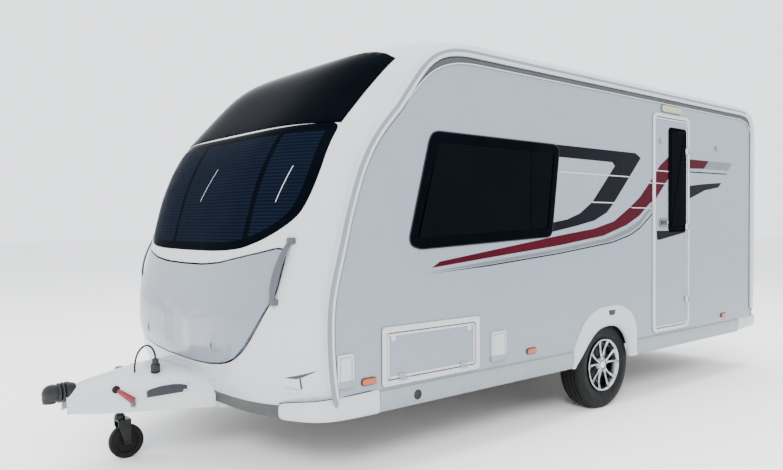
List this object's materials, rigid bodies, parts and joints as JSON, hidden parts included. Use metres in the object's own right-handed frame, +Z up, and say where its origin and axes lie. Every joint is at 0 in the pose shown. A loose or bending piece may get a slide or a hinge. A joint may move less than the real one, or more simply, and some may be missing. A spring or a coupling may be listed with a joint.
{
  "type": "touring caravan",
  "caption": "Single-axle touring caravan with moulded front, panoramic windows, gas locker lid, hinged door, jockey wheel and folding corner steadies.",
  "frame": {"origin": "on the ground, at the centre of the box around the whole caravan", "axes": "+X towards the door side, -Y towards the towing end, +Z up"},
  "size_m": [2.26, 6.14, 2.61],
  "materials": {
    "galvanised": "dull galvanised",
    "black_steel": "satin black",
    "cast_black": "satin black",
    "white_abs": "gloss",
    "red_plastic": "gloss",
    "black_rubber": "matt",
    "grey_steel": "satin",
    "solid_rubber": "matt",
    "floor_ply": "sealed",
    "side_skin": "smooth fibreglass face",
    "tinted_acrylic": "dark tint",
    "blind_cloth": "pleated",
    "grey_abs": "satin",
    "red_lens": "clear lens",
    "skirt_paint": "painted satin",
    "grey_plastic": "satin",
    "amber_lens": "clear lens",
    "black_plastic": "matt",
    "tyre": "matt",
    "alloy": "polished"
  },
  "bodies": {
    "caravan": {"chassis_frame": "galvanised", "axle": "black_steel", "coupling_head": "cast_black", "a_frame_cover": "white_abs", "handbrake_lever": "red_plastic", "tow_plug": "black_rubber", "tow_lead": "black_rubber", "jockey_clamp": "galvanised", "steady_bases": "galvanised", "floor_panel": "floor_ply", "left_wall": "side_skin", "right_wall": "side_skin", "front_panel": "white_abs", "front_window": "tinted_acrylic", "sky_window": "tinted_acrylic", "window_blinds": "blind_cloth", "roof_panel": "white_abs", "rooflight": "white_abs", "rear_panel": "white_abs", "rear_bumper": "grey_abs", "tail_lights": "red_lens", "skirts": "skirt_paint", "wheel_spats": "white_abs", "edge_trims": "white_abs", "door_frames": "white_abs", "grab_handles": "grey_plastic", "locker_bulkhead": "white_abs", "side_windows": "tinted_acrylic", "service_boxes": "white_abs", "side_lamps": "amber_lens", "wheel_boxes": "black_plastic"},
    "jockey_mast": {"jockey_mast": "galvanised"},
    "jockey_fork": {"jockey_fork": "grey_steel"},
    "jockey_wheel": {"jockey_wheel": "solid_rubber"},
    "entrance_door": {"entrance_door": "side_skin", "door_handle": "grey_plastic", "door_window": "tinted_acrylic"},
    "gas_locker_lid": {"gas_locker_lid": "white_abs"},
    "locker_door": {"locker_door": "side_skin"},
    "left_wheel": {"left_tyre": "tyre", "left_rim": "alloy"},
    "right_wheel": {"right_tyre": "tyre", "right_rim": "alloy"},
    "steady_leg_fl": {"steady_leg_fl": "grey_steel"},
    "steady_strut_fl": {"steady_strut_fl": "galvanised"},
    "steady_leg_fr": {"steady_leg_fr": "grey_steel"},
    "steady_strut_fr": {"steady_strut_fr": "galvanised"},
    "steady_leg_rl": {"steady_leg_rl": "grey_steel"},
    "steady_strut_rl": {"steady_strut_rl": "galvanised"},
    "steady_leg_rr": {"steady_leg_rr": "grey_steel"},
    "steady_strut_rr": {"steady_strut_rr": "galvanised"}
  },
  "joints": [
    {"name": "left_wheel_spin", "type": "hinge", "parent": "caravan", "child": "left_wheel", "pos_m": [-0.975, 0.55, 0.325], "axis": [1, 0, 0], "continuous": true},
    {"name": "right_wheel_spin", "type": "hinge", "parent": "caravan", "child": "right_wheel", "pos_m": [0.975, 0.55, 0.325], "axis": [1, 0, 0], "continuous": true},
    {"name": "jockey_slide", "type": "slide", "parent": "caravan", "child": "jockey_mast", "axis": [0, 0, 1], "range_m": [0, 0.08]},
    {"name": "jockey_swivel", "type": "hinge", "parent": "jockey_mast", "child": "jockey_fork", "pos_m": [-0.15, -2.6, 0.25], "axis": [0, 0, 1], "continuous": true},
    {"name": "jockey_wheel_spin", "type": "hinge", "parent": "jockey_fork", "child": "jockey_wheel", "pos_m": [-0.15, -2.564, 0.1], "axis": [1, 0, 0], "continuous": true},
    {"name": "steady_fl", "type": "hinge", "parent": "caravan", "child": "steady_leg_fl", "pos_m": [-0.86, -1.09, 0.418], "axis": [1, 0, 0], "range_deg": [0, 56]},
    {"name": "steady_strut_fl", "type": "hinge", "parent": "steady_leg_fl", "child": "steady_strut_fl", "pos_m": [-0.86, -1.2889, 0.39709], "axis": [1, 0, 0], "range_deg": [-112, 0]},
    {"name": "steady_fr", "type": "hinge", "parent": "caravan", "child": "steady_leg_fr", "pos_m": [0.86, -1.09, 0.418], "axis": [1, 0, 0], "range_deg": [0, 56]},
    {"name": "steady_strut_fr", "type": "hinge", "parent": "steady_leg_fr", "child": "steady_strut_fr", "pos_m": [0.86, -1.2889, 0.39709], "axis": [1, 0, 0], "range_deg": [-112, 0]},
    {"name": "steady_rl", "type": "hinge", "parent": "caravan", "child": "steady_leg_rl", "pos_m": [-0.86, 2.21, 0.418], "axis": [-1, 0, 0], "range_deg": [0, 56]},
    {"name": "steady_strut_rl", "type": "hinge", "parent": "steady_leg_rl", "child": "steady_strut_rl", "pos_m": [-0.86, 2.4089, 0.39709], "axis": [-1, 0, 0], "range_deg": [-112, 0]},
    {"name": "steady_rr", "type": "hinge", "parent": "caravan", "child": "steady_leg_rr", "pos_m": [0.86, 2.21, 0.418], "axis": [-1, 0, 0], "range_deg": [0, 56]},
    {"name": "steady_strut_rr", "type": "hinge", "parent": "steady_leg_rr", "child": "steady_strut_rr", "pos_m": [0.86, 2.4089, 0.39709], "axis": [-1, 0, 0], "range_deg": [-112, 0]},
    {"name": "entrance_door_hinge", "type": "hinge", "parent": "caravan", "child": "entrance_door", "pos_m": [1.124, 1.697, 1.33], "axis": [0, 0, 1], "range_deg": [0, 165]},
    {"name": "gas_locker_lid_hinge", "type": "hinge", "parent": "caravan", "child": "gas_locker_lid", "pos_m": [0, -2.1, 1.322], "axis": [-1, 0, 0], "range_deg": [0, 65]},
    {"name": "locker_door_hinge", "type": "hinge", "parent": "caravan", "child": "locker_door", "pos_m": [1.124, -1.2425, 0.528], "axis": [0, 1, 0], "range_deg": [0, 100]}
  ],
  "couplings": [
    {"joint": "steady_strut_fl", "follows": "steady_fl", "ratio": -2},
    {"joint": "steady_strut_fr", "follows": "steady_fr", "ratio": -2},
    {"joint": "steady_strut_rl", "follows": "steady_rl", "ratio": -2},
    {"joint": "steady_strut_rr", "follows": "steady_rr", "ratio": -2}
  ]
}
